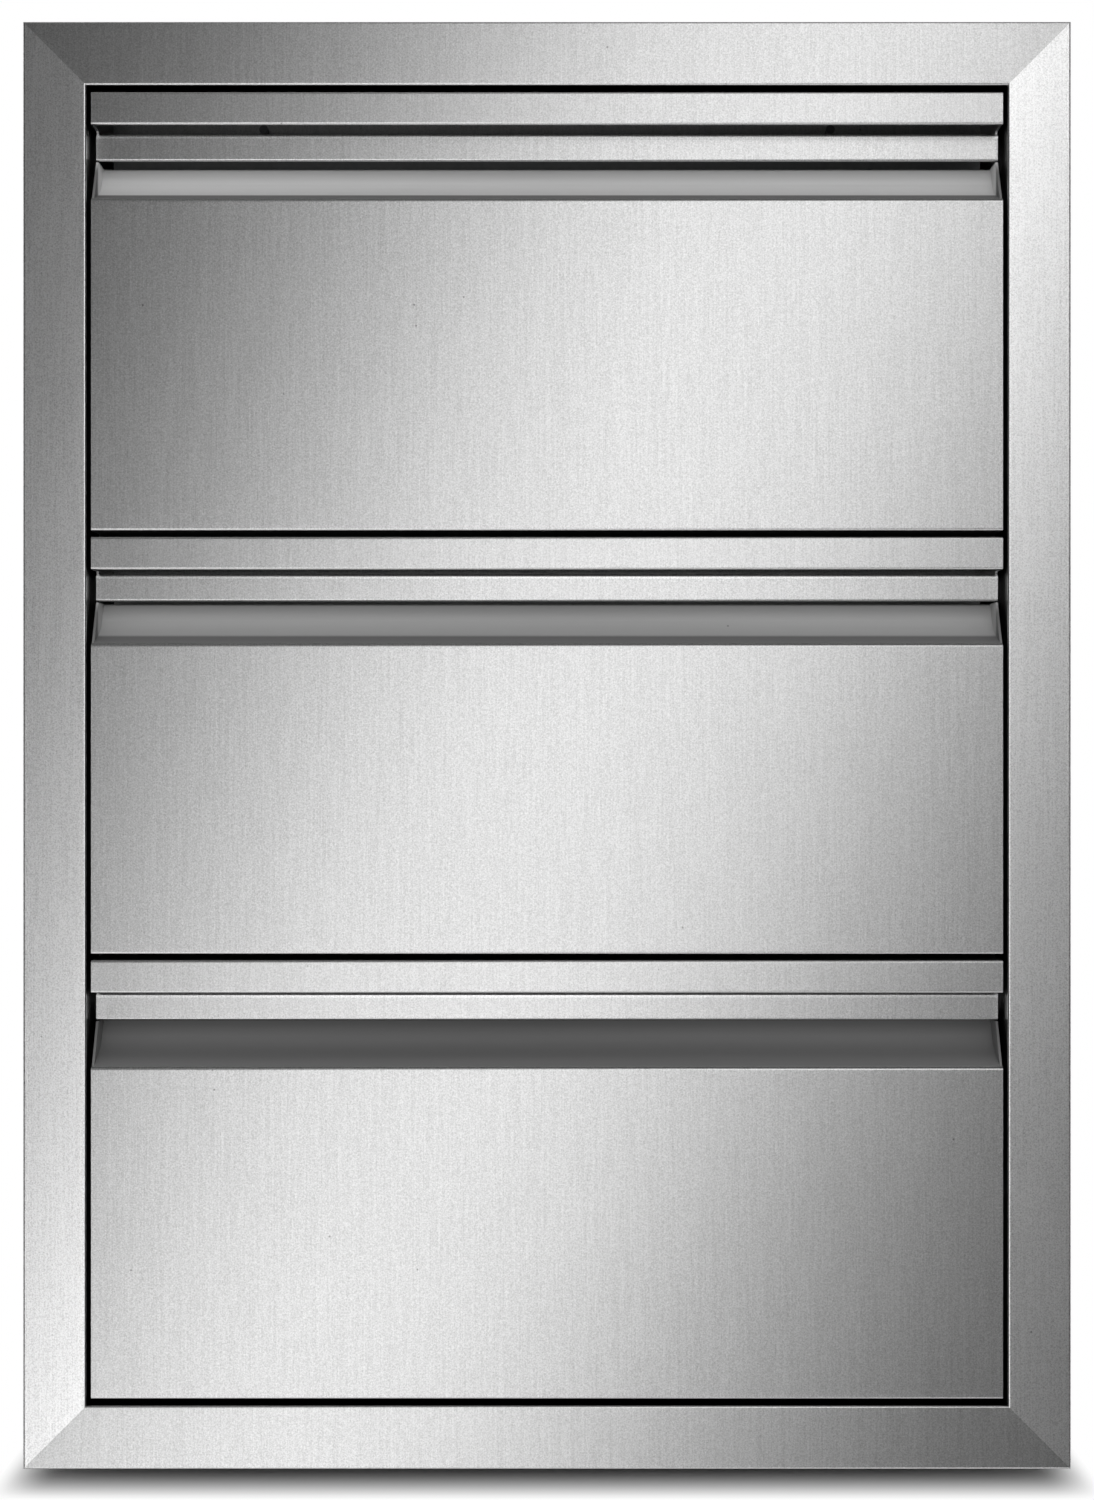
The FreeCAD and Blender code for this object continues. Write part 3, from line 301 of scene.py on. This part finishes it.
class FaceSteelSettings(bpy.types.PropertyGroup):
    """Colours, grain and painted light and shade of the brushed steel on the face."""

    front_colour: FloatVectorProperty(
        name="Front colour",
        description="Colour of the steel of the drawer fronts and the frame's rails",
        subtype="COLOR",
        size=3,
        default=(0.60, 0.60, 0.60),
    )
    # Painted reflection: the stiles' steel gets a brighter colour than the rails' to stand in for the
    # brighter reflection they show.
    stile_painted_reflection_colour: FloatVectorProperty(
        name="Stile colour",
        description="Colour of the steel of the frame's stiles, which reflect more than its rails",
        subtype="COLOR",
        size=3,
        default=(0.88, 0.88, 0.88),
    )
    roughness: FloatProperty(
        name="Roughness",
        description="Mean roughness of the flat faces",
        default=0.288,
        min=0.05,
        max=1.0,
    )
    grit: FloatProperty(
        name="Grit",
        description="Strength of the fine grain",
        default=1.15,
        min=0.0,
        max=2.0,
    )
    relief: FloatProperty(
        name="Relief",
        description="Height of the fine grain",
        default=0.000025,
        precision=7,
        unit="LENGTH",
    )
    lines: FloatProperty(
        name="Brush lines",
        description="Strength of the upright brush lines",
        default=0.3,
        min=0.0,
        max=1.0,
    )
    spread: FloatProperty(
        name="Spread",
        description="How much wider the steel spreads reflections across its grain than along it",
        default=0.35,
        min=0.0,
        max=1.0,
    )
    speck_level: FloatProperty(
        name="Speck brightness",
        description="Brightness of the few dark specks in the steel",
        default=0.5,
        min=0.0,
        max=1.0,
    )
    scoop_metal: FloatProperty(
        name="Scoop metal",
        description="Share of mirror-like steel in the blasted finish of the scoops",
        default=0.2,
        min=0.0,
        max=1.0,
    )
    scoop_roughness: FloatProperty(
        name="Scoop roughness",
        description="Roughness of the scoop under a drawer's lip",
        default=0.88,
        min=0.05,
        max=1.0,
    )
    # Painted light and shade: each scoop's steel is made brighter or darker by its own level, standing in for
    # how the light falls into it, brightest in the top scoop.
    scoop_painted_light_levels: FloatVectorProperty(
        name="Scoop brightness",
        description="Brightness of the steel in the bottom, middle and top scoops",
        size=3,
        default=(0.25, 0.70, 1.06),
    )
    # Painted shade: the slope between a panel's top bend and its scoop is darkened.
    slope_painted_shade: FloatProperty(
        name="Slope brightness",
        description="Brightness of the steel on the slope between a panel's top bend and its scoop",
        default=0.24,
        min=0.0,
        max=1.0,
    )
    # Painted highlight: the fold along the top of a grip's lip is made brighter than the steel around it.
    fold_painted_highlight: FloatProperty(
        name="Fold brightness",
        description="Brightness of the worn fold along the top of a grip's lip",
        default=1.32,
        min=0.0,
        max=1.6,
    )
    # Painted shade: the frame's returns beside the fronts are darkened.
    gap_painted_shade: FloatProperty(
        name="Gap brightness",
        description="Brightness of the frame's returns beside the fronts",
        default=0.05,
        min=0.0,
        max=1.0,
    )
    # Painted shade: the steel in the slots, the finger recesses and the shelves behind the scoops is
    # darkened.
    hollow_painted_shade: FloatProperty(
        name="Hollow brightness",
        description="Brightness of the unbrushed steel inside the slots and finger recesses",
        default=0.4,
        min=0.0,
        max=1.0,
    )


class InnerFinishSettings(bpy.types.PropertyGroup):
    """Colours of the housing, the boxes, the slides and the fasteners, and the painted shade in the finger
    recesses.
    """

    sheet_colour: FloatVectorProperty(
        name="Sheet colour",
        description="Colour of the mill finish steel of the housing and the drawer boxes",
        subtype="COLOR",
        size=3,
        default=(0.66, 0.665, 0.67),
    )
    sheet_roughness: FloatProperty(
        name="Sheet roughness",
        description="Mean roughness of the housing and the drawer boxes",
        default=0.42,
        min=0.05,
        max=1.0,
    )
    # Painted shade: the front of the wall that closes the finger recesses is darkened.
    recess_painted_shade: FloatProperty(
        name="Recess brightness",
        description="Brightness of the wall that closes the finger recesses",
        default=0.4,
        min=0.0,
        max=1.0,
    )
    slide_roughness: FloatProperty(
        name="Slide roughness",
        description="Mean roughness of the slide members",
        default=0.30,
        min=0.05,
        max=1.0,
    )
    zinc_colour: FloatVectorProperty(
        name="Zinc colour",
        description="Colour of the zinc plating on the slides",
        subtype="COLOR",
        size=3,
        default=(0.62, 0.65, 0.68),
    )
    ball_colour: FloatVectorProperty(
        name="Ball colour",
        description="Colour of the bright steel of the balls and their cages",
        subtype="COLOR",
        size=3,
        default=(0.78, 0.78, 0.79),
    )
    rivet_colour: FloatVectorProperty(
        name="Rivet colour",
        description="Colour of the aluminium rivets in the housing",
        subtype="COLOR",
        size=3,
        default=(0.72, 0.72, 0.72),
    )
    screw_colour: FloatVectorProperty(
        name="Screw colour",
        description="Colour of the steel screws and rivets in the drawers",
        subtype="COLOR",
        size=3,
        default=(0.70, 0.71, 0.72),
    )
    # Painted shade: the screws that stand in the finger recesses are darkened.
    screw_painted_shade: FloatProperty(
        name="Screw brightness",
        description="Brightness of the screws where they stand in the finger recesses",
        default=0.15,
        min=0.0,
        max=1.0,
    )
    rubber_colour: FloatVectorProperty(
        name="Rubber colour",
        description="Colour of the rubber of the end buffers",
        subtype="COLOR",
        size=3,
        default=(0.025, 0.025, 0.026),
    )


class StageSettings(bpy.types.PropertyGroup):
    """Camera, lamps and the shadow on the floor."""

    camera_distance: FloatProperty(
        name="Camera distance",
        description="From the face frame to the camera",
        default=1.05,
        unit="LENGTH",
    )
    camera_height: FloatProperty(
        name="Camera height",
        description="Height of the camera above the housing's underside",
        default=0.288,
        unit="LENGTH",
    )
    shadow_reach: FloatProperty(
        name="Shadow reach",
        description="How far the shadow on the floor shows beyond the unit's sides",
        default=0.018,
        unit="LENGTH",
    )
    shadow_side: FloatProperty(
        name="Shadow side",
        description="Width of the floor over which the shadow's sides fade into white",
        default=0.026,
        unit="LENGTH",
    )
    shadow_front: FloatProperty(
        name="Shadow front",
        description="How far in from the unit's front and back its shadow on the floor begins to fade",
        default=0.046,
        unit="LENGTH",
    )
    view_height: FloatProperty(
        name="View height",
        description="Height of what the picture takes in at the face frame",
        default=0.6537,
        unit="LENGTH",
    )
    lamp_width: FloatProperty(
        name="Soft box width",
        description="Width of the tilted soft box in front of the unit",
        default=0.74,
        unit="LENGTH",
    )
    lamp_length: FloatProperty(
        name="Soft box length",
        description="Length of the tilted soft box",
        default=4.0,
        unit="LENGTH",
    )
    lamp_tilt: FloatProperty(
        name="Soft box tilt",
        description="Lean of the soft box to the right, from upright",
        default=math.radians(20),
        subtype="ANGLE",
    )
    lamp_radiance: FloatProperty(
        name="Soft box radiance",
        description="Brightness of the soft box",
        default=1.87,
        min=0.0,
    )
    overhead_radiance: FloatProperty(
        name="Overhead radiance",
        description="Brightness of the wide lamp over the unit",
        default=1.2,
        min=0.0,
    )
    room_light: FloatProperty(
        name="Room light",
        description="Brightness of the light that comes from all around",
        default=0.9,
        min=0.0,
    )


def zone(low, high, soft, level):
    """A box with a soft edge, and the brightness of the steel inside it: below 1 it paints shade, above 1 a
    highlight.
    """
    return low, high, soft, level


def face_steel(name, look, colour, zones, scoop=None):
    """Brushed face steel with zones of painted shade and highlight and, on a panel, the zone of its rough
    scoop with its painted light and shade.
    """
    material, start = new_material(name)
    grit = noise(start, place(start, GRIT_SCALE, OFF_LATTICE), roughness=0.75)
    lines = noise(start, place(start, BRUSH_SCALE, OFF_LATTICE))
    clouds = noise(start, place(start, FACE_CLOUD_SCALE))
    dots = start.make(
        "ShaderNodeTexVoronoi", {"feature": "F1"}, {"Vector": place(start), "Scale": SPECK_SCALE}, "Distance"
    )
    patches = noise(start, place(start, SPECK_PATCH_SCALE), detail=0.0).between(*SPECK_PATCH_EDGE)
    specks = dots.between(*SPECK_EDGE) * patches
    grain = varied(1.0, (grit, look.grit), (lines, look.lines))
    roughness = varied(look.roughness, (grit, 0.02), (lines, 0.02), (clouds, 0.02))
    metallic = 1.0
    spots = axes(start)
    # The scoop's and the slope's brightness is painted light and shade, laid over the streaks of the steel.
    if scoop:
        low, high, soft, scoop_painted_level = scoop
        hollow = inside(spots, low, high, soft)
        streaks = noise(start, place(start, SCOOP_STREAK_SCALE))
        slope_end = low[1] + SLOPE_DEPTH
        deep = spots[1].between(slope_end - SLOPE_FADE, slope_end)
        scoop_streaks_and_painted_light = mixed(streaks, 0.94, 1.06) * mixed(deep, look.slope_painted_shade, scoop_painted_level)
        grain = mixed(hollow, grain, scoop_streaks_and_painted_light)
        roughness = mixed(hollow, roughness, look.scoop_roughness)
        metallic = mixed(hollow, 1.0, look.scoop_metal)
    # Each zone multiplies the brightness by its painted shade or highlight.
    for low, high, soft, level in zones:
        grain = grain * mixed(inside(spots, low, high, soft), 1.0, level)
    grain = grain * mixed(specks, 1.0, look.speck_level)
    height = grit + lines * 0.5
    close_finish(start, grey(start, grain, colour), roughness, height, look.relief, metallic, look.spread)
    return material


def opening_zone(look):
    """The returns of the frame, which line its opening beside the fronts, darkened by painted shade."""
    low, high = [Vector(corner) for corner in CAD_BOX]
    soft = 0.0004
    width = FLANGE_WIDTH - soft
    return zone(
        low=(0.0, FRAME_FACE_Y + RETURN_DEPTH, low.z + width),
        high=(high.x - width, high.y, high.z - width),
        soft=soft,
        level=look.gap_painted_shade,
    )


def grip_zones(drawer, look):
    """Painted shade in the slot over a drawer's lip and in the recess behind the lip, and a painted highlight
    on the fold along its top.
    """
    low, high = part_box(f"{drawer}_grip_rail")
    lip_top = high.z - LIP_DROP
    # Painted shade in the slot and in the recess behind the lip.
    slot = zone(
        low=(0.0, FRONT_FACE_Y + SLOT_DEPTH, lip_top + 0.0044),
        high=(high.x - 0.0004, high.y, high.z - 0.0006),
        soft=0.004,
        level=look.hollow_painted_shade,
    )
    recess = zone(
        low=(0.0, FRONT_FACE_Y + RECESS_DEPTH, low.z),
        high=(high.x, high.y, lip_top),
        soft=0.0015,
        level=look.hollow_painted_shade,
    )
    # Painted highlight along the top of the lip.
    fold = zone(
        low=(0.0, FRONT_FACE_Y + LIP_DEPTH - 0.0005, lip_top - 0.0016),
        high=(high.x, FRONT_FACE_Y + LIP_DEPTH + 0.002, lip_top + 0.001),
        soft=0.0008,
        level=look.fold_painted_highlight,
    )
    return slot, recess, fold


def panel_zones(drawer, look, scoop_painted_level):
    """The scoop at the top of a drawer's panel with its painted light and shade, and the shelf behind it
    darkened by painted shade.
    """
    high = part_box(f"{drawer}_grip_rail")[1]
    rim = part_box(f"{drawer}_front_panel")[1].z
    top = (high.x, high.y, rim + RIM_MARGIN)
    scoop = zone(
        low=(0.0, FRONT_FACE_Y + BEND_DEPTH, rim - SCOOP_HEIGHT), high=top, soft=0.0006, level=scoop_painted_level
    )
    # Painted shade on the shelf behind the scoop.
    shelf = zone(
        low=(0.0, FRONT_FACE_Y + SHELF_DEPTH, rim - 0.002), high=top, soft=0.001, level=look.hollow_painted_shade
    )
    return scoop, shelf


class FinishFaceSteel(bpy.types.Operator):
    """Brushed steel for the face frame, the front panels and the grip rails"""

    bl_idname = "drawer_unit.finish_face_steel"
    bl_label = "Finish the brushed face steel"

    def execute(self, context):
        look = context.scene.drawer_unit_face
        opening = opening_zone(look)
        # The stiles and the rails are lit and shaded copies of one steel, with the stiles' colour painted
        # brighter.
        put_on(face_steel("stile_steel", look, look.stile_painted_reflection_colour, (opening,)), FRAME_STILES)
        put_on(face_steel("rail_steel", look, look.front_colour, (opening,)), FRAME_RAILS)
        for drawer, scoop_painted_level in zip(DRAWERS, look.scoop_painted_light_levels):
            zones = grip_zones(drawer, look)
            material = face_steel(f"{drawer}_grip_steel", look, look.front_colour, zones)
            put_on(material, [f"{drawer}_grip_rail"])
            scoop, shelf = panel_zones(drawer, look, scoop_painted_level)
            material = face_steel(f"{drawer}_panel_steel", look, look.front_colour, (shelf,), scoop)
            put_on(material, [f"{drawer}_front_panel"])
        return {"FINISHED"}


class FinishSheetSteel(bpy.types.Operator):
    """Mill finish steel for the housing and the drawer boxes"""

    bl_idname = "drawer_unit.finish_sheet_steel"
    bl_label = "Finish the housing and box steel"

    def execute(self, context):
        look = context.scene.drawer_unit_inner
        sheets = [*HOUSING, *[f"{drawer}_{sheet}" for drawer in DRAWERS for sheet in BOX_SHEETS]]
        inner_fronts = [f"{drawer}_inner_front" for drawer in DRAWERS]
        for name, closes_recess, nodes in (
            ("mill_sheet_steel", False, sheets),
            ("inner_front_steel", True, inner_fronts),
        ):
            material, start = new_material(name)
            rolling = noise(start, place(start, ROLLING_SCALE), detail=3.0)
            clouds = noise(start, place(start, SHEET_CLOUD_SCALE), detail=3.0)
            level = varied(1.0, (rolling, 0.30), (clouds, 0.16))
            # Painted shade on the front of the wall that closes the finger recesses.
            if closes_recess:
                level = level * mixed(behind_recess_wall(start), look.recess_painted_shade, 1.0)
            roughness = varied(look.sheet_roughness, (rolling, 0.06), (clouds, 0.10))
            close_finish(start, grey(start, level, look.sheet_colour), roughness, rolling, ROLLING_RELIEF)
            put_on(material, nodes)
        return {"FINISHED"}


class FinishSlides(bpy.types.Operator):
    """Zinc plated steel for the slide members and bright steel for the balls and cages"""

    bl_idname = "drawer_unit.finish_slides"
    bl_label = "Finish the slides"

    def execute(self, context):
        look = context.scene.drawer_unit_inner
        material, start = new_material("zinc_slide_steel")
        drawing = noise(start, place(start, DRAWING_SCALE), detail=3.0)
        clouds = noise(start, place(start, SLIDE_CLOUD_SCALE))
        level = varied(1.0, (drawing, 0.10), (clouds, 0.12))
        roughness = varied(look.slide_roughness, (clouds, 0.14))
        close_finish(start, grey(start, level, look.zinc_colour), roughness, drawing, DRAWING_RELIEF)
        members = [f"slide_{part}_{side}" for part in ("outer", "middle", "inner") for side in SIDES]
        put_on(material, [f"{drawer}_{member}" for drawer in DRAWERS for member in members])

        material, start = new_material("bright_ball_steel")
        wear = noise(start, place(start, BALL_WEAR_SCALE))
        colour = grey(start, mixed(wear, 0.95, 1.05), look.ball_colour)
        close_finish(start, colour, roughness=mixed(wear, 0.08, 0.18))
        put_on(material, [f"{drawer}_{race}_ball_cages" for drawer in DRAWERS for race in ("outer", "inner")])
        return {"FINISHED"}


class FinishFasteners(bpy.types.Operator):
    """Aluminium for the housing's rivets and steel for the drawers' screws and rivets"""

    bl_idname = "drawer_unit.finish_fasteners"
    bl_label = "Finish the rivets and screws"

    def execute(self, context):
        look = context.scene.drawer_unit_inner
        housing_rivets = ["housing_rivets", "slide_rivets"]
        drawer_fasteners = [f"{drawer}_drawer_fasteners" for drawer in DRAWERS]
        for name, colour, in_recess, nodes in (
            ("rivet_aluminium", look.rivet_colour, False, housing_rivets),
            ("drawer_fastener_steel", look.screw_colour, True, drawer_fasteners),
        ):
            material, start = new_material(name)
            marks = noise(start, place(start, FASTENER_MARK_SCALE))
            level = mixed(marks, 0.92, 1.08)
            # Painted shade on the screws that stand in the finger recesses.
            if in_recess:
                level = level * mixed(behind_recess_wall(start), look.screw_painted_shade, 1.0)
            close_finish(start, grey(start, level, colour), mixed(marks, 0.3, 0.42), marks, MARK_RELIEF)
            put_on(material, nodes)
        return {"FINISHED"}


class FinishBuffers(bpy.types.Operator):
    """Rubber for the slides' end buffers"""

    bl_idname = "drawer_unit.finish_buffers"
    bl_label = "Finish the rubber buffers"

    def execute(self, context):
        look = context.scene.drawer_unit_inner
        material, start = new_material("buffer_rubber")
        grain = noise(start, place(start, GRIT_SCALE))
        colour = grey(start, mixed(grain, 0.8, 1.2), look.rubber_colour)
        close_finish(start, colour, mixed(grain, 0.7, 0.85), grain, RUBBER_RELIEF, metallic=0.0)
        put_on(material, ["slide_buffers"])
        return {"FINISHED"}


def flat_card(name, width, height, where, axis="X", turn=0.0):
    """A plain rectangle, turned and moved, with its place in its mesh."""
    mesh = bpy.data.meshes.new(name)
    card = bpy.data.objects.new(name, mesh)
    bpy.context.scene.collection.objects.link(card)
    shape = bmesh.new()
    bmesh.ops.create_grid(shape, x_segments=1, y_segments=1, size=0.5)
    bmesh.ops.scale(shape, vec=(width, height, 1.0), verts=shape.verts)
    bmesh.ops.rotate(shape, matrix=Matrix.Rotation(math.radians(turn), 3, axis), verts=shape.verts)
    bmesh.ops.translate(shape, vec=where, verts=shape.verts)
    shape.to_mesh(mesh)
    shape.free()
    return card


def add_lamp(name, width, height, where, aim, radiance, roll=0.0):
    """An area lamp of the given brightness that points at a place."""
    lamp = bpy.data.lights.new(name, "AREA")
    lamp.shape = "RECTANGLE"
    lamp.size = width
    lamp.size_y = height
    lamp.energy = radiance * math.pi * width * height
    holder = bpy.data.objects.new(name, lamp)
    bpy.context.scene.collection.objects.link(holder)
    facing = (Vector(aim) - Vector(where)).to_track_quat("-Z", "Y").to_matrix().to_4x4()
    holder.matrix_world = Matrix.Translation(where) @ facing @ Matrix.Rotation(roll, 4, "Z")
    return holder


def emission(start, level):
    """A shader that glows white at a brightness."""
    return start.make("ShaderNodeEmission", (), {"Color": WHITE, "Strength": level})


def set_camera(scene, look):
    """A level camera in front of the face frame, straight as in the photograph."""
    camera_data = bpy.data.cameras.new("camera")
    camera = bpy.data.objects.new("camera", camera_data)
    scene.collection.objects.link(camera)
    camera_data.lens = camera_data.sensor_width * look.camera_distance / look.view_height
    camera.matrix_world = Matrix.Translation(
        (0.0, FRAME_FACE_Y - look.camera_distance, look.camera_height)
    ) @ Matrix.Rotation(math.radians(90), 4, "X")
    scene.camera = camera


def make_floor(look):
    """A floor that shows white, apart from the shadow right under the unit."""
    low, high = CAD_BOX
    floor = flat_card("studio_floor", FLOOR_SIZE, FLOOR_SIZE, (0.0, 0.0, FLOOR_Z))
    material, start = new_material("studio_floor_white")
    patches = noise(start, place(start, FLOOR_PATCH_SCALE), detail=1.0)
    pale = start.make("ShaderNodeBsdfDiffuse", (), {"Color": grey(start, mixed(patches, 0.93, 0.95))})
    white = emission(start, 1.0)
    # The dark under the unit is its real shadow; the shape of its fade into white is painted by this mask.
    sideways, back, _ = axes(start)
    middle = (low[1] + high[1]) / 2
    behind = start.maths("ABSOLUTE", back - middle) - (high[1] - middle)
    beside = ((sideways - high[0] - look.shadow_reach) * (1 / look.shadow_side) + 1.0).clamped()
    before = (behind * (1 / look.shadow_front) + 1.0).clamped()
    dark = (1.0 - beside * beside) * (1.0 - before * before)
    cover = (1.0 - dark) * start.make("ShaderNodeLightPath", output="Is Camera Ray")
    shown = start.make("ShaderNodeMixShader", (), {0: cover, 1: pale, 2: white})
    start.make("ShaderNodeOutputMaterial", (), {"Surface": shown})
    floor.data.materials.append(material)
    floor.visible_glossy = False
    floor.visible_shadow = False
    return floor


def make_cards():
    """Grey cards round the unit for its steel to reflect, and one that shades the floor under it."""
    cards = []
    for name, level, width, height, where, axis, turn in STUDIO_CARDS:
        material, start = new_material(f"studio_{name}_grey")
        start.make("ShaderNodeOutputMaterial", (), {"Surface": emission(start, level)})
        card = flat_card(f"studio_{name}", width, height, where, axis, turn)
        card.data.materials.append(material)
        card.visible_camera = False
        card.visible_glossy = name != "shade"
        card.visible_diffuse = name == "shade"
        card.visible_shadow = name in ("under", "shade")
        card.visible_transmission = False
        cards.append(card)
    return cards


def light_world(scene, look):
    """A world that shows and reflects white, and lights the unit a little less."""
    world = scene.world or bpy.data.worlds.new("studio")
    scene.world = world
    start = new_tree(world)
    seen = start.make("ShaderNodeLightPath", output="Is Camera Ray")
    seen = seen + start.make("ShaderNodeLightPath", output="Is Glossy Ray")
    seen = seen + start.make("ShaderNodeLightPath", output="Is Transmission Ray")
    light, white = [
        start.make("ShaderNodeBackground", (), {"Color": WHITE, "Strength": level})
        for level in (look.room_light, 1.0)
    ]
    shown = start.make("ShaderNodeMixShader", (), {0: seen.clamped(), 1: light, 2: white})
    start.make("ShaderNodeOutputWorld", (), {"Surface": shown})


class SetStage(bpy.types.Operator):
    """Floor, studio cards, lamps, world and camera"""

    bl_idname = "drawer_unit.set_stage"
    bl_label = "Set the stage"

    def execute(self, context):
        look = context.scene.drawer_unit_stage
        scene = context.scene
        scene.view_settings.view_transform = "Standard"
        set_camera(scene, look)
        floor = make_floor(look)
        cards = make_cards()
        add_lamp(
            "tilted_softbox",
            width=look.lamp_width,
            height=look.lamp_length,
            where=(SOFTBOX_SIDEWAYS, -SOFTBOX_DISTANCE, look.camera_height),
            aim=(SOFTBOX_SIDEWAYS, 0.0, look.camera_height),
            radiance=look.lamp_radiance,
            roll=-look.lamp_tilt,
        )
        overhead = add_lamp(
            "overhead_lamp",
            width=OVERHEAD_SIZE,
            height=OVERHEAD_SIZE,
            where=OVERHEAD_PLACE,
            aim=OVERHEAD_AIM,
            radiance=look.overhead_radiance,
        )
        overhead.visible_glossy = False
        light_world(scene, look)
        return {"FINISHED"}


class DrawerUnitPanel(bpy.types.Panel):
    """Lists the settings and steps of the drawer unit"""

    bl_idname = "VIEW3D_PT_drawer_unit"
    bl_label = "Drawer Unit"
    bl_space_type = "VIEW_3D"
    bl_region_type = "UI"
    bl_category = "Drawer Unit"

    def draw(self, context):
        scene = context.scene
        for group in (scene.drawer_unit_face, scene.drawer_unit_inner, scene.drawer_unit_stage):
            box = self.layout.box()
            for name in group.bl_rna.properties.keys():
                if name not in ("rna_type", "name"):
                    box.prop(group, name)
        for step in STEPS:
            self.layout.operator(step.bl_idname)


STEPS = (
    FinishFaceSteel,
    FinishSheetSteel,
    FinishSlides,
    FinishFasteners,
    FinishBuffers,
    SetStage,
)
CLASSES = (FaceSteelSettings, InnerFinishSettings, StageSettings, *STEPS, DrawerUnitPanel)


def register():
    """Adds the classes and their settings."""
    for added in CLASSES:
        bpy.utils.register_class(added)
    bpy.types.Scene.drawer_unit_face = PointerProperty(type=FaceSteelSettings)
    bpy.types.Scene.drawer_unit_inner = PointerProperty(type=InnerFinishSettings)
    bpy.types.Scene.drawer_unit_stage = PointerProperty(type=StageSettings)


def unregister():
    """Takes the classes and their settings away."""
    del bpy.types.Scene.drawer_unit_face
    del bpy.types.Scene.drawer_unit_inner
    del bpy.types.Scene.drawer_unit_stage
    for added in reversed(CLASSES):
        bpy.utils.unregister_class(added)


def main():
    """Runs every step in order."""
    register()
    for step in STEPS:
        group, name = step.bl_idname.split(".")
        getattr(getattr(bpy.ops, group), name)()


if __name__ == "__main__":
    main()
